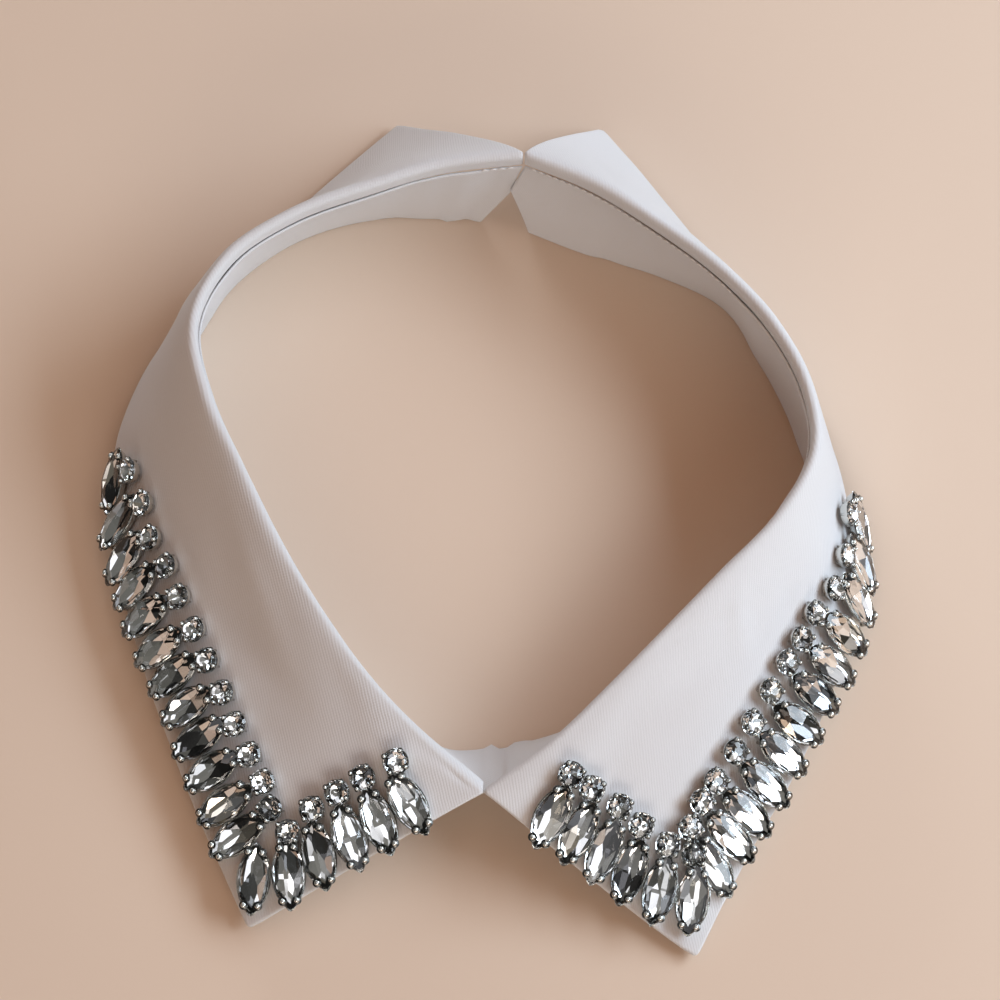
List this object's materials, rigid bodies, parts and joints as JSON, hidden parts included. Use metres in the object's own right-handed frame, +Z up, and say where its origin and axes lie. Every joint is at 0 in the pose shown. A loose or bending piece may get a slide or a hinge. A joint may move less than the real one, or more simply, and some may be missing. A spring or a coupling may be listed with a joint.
{
  "type": "dickey collar",
  "caption": "Detachable white twill shirt collar with a stand and two pointed falls, edged with sewn-on crystal stones in claw cups.",
  "frame": {"origin": "on the table under the centre of the whole collar's box", "axes": "+Z up from the table, the collar's front (its points) towards -Y, its open back towards +Y. Left and right in node names are -X and +X, as seen from the front"},
  "size_m": [0.1654, 0.1934, 0.0316],
  "materials": {
    "cloth": "fine cotton twill, pressed, matt",
    "crystal": "faceted foil-backed glass in silver claw cups"
  },
  "bodies": {
    "root": {"stand": "cloth", "fall_left": "cloth", "fall_right": "cloth", "stones_left_01": "crystal", "stones_left_02": "crystal", "stones_left_03": "crystal", "stones_left_04": "crystal", "stones_left_05": "crystal", "stones_left_06": "crystal", "stones_left_07": "crystal", "stones_left_08": "crystal", "stones_left_09": "crystal", "stones_left_10": "crystal", "stones_left_11": "crystal", "stones_left_12": "crystal", "stones_left_13": "crystal", "stones_left_14": "crystal", "stones_left_15": "crystal", "stones_left_16": "crystal", "stones_left_17": "crystal", "stones_left_18": "crystal", "stones_right_01": "crystal", "stones_right_02": "crystal", "stones_right_03": "crystal", "stones_right_04": "crystal", "stones_right_05": "crystal", "stones_right_06": "crystal", "stones_right_07": "crystal", "stones_right_08": "crystal", "stones_right_09": "crystal", "stones_right_10": "crystal", "stones_right_11": "crystal", "stones_right_12": "crystal", "stones_right_13": "crystal", "stones_right_14": "crystal", "stones_right_15": "crystal", "stones_right_16": "crystal", "stones_right_17": "crystal", "stones_right_18": "crystal"}
  },
  "joints": []
}
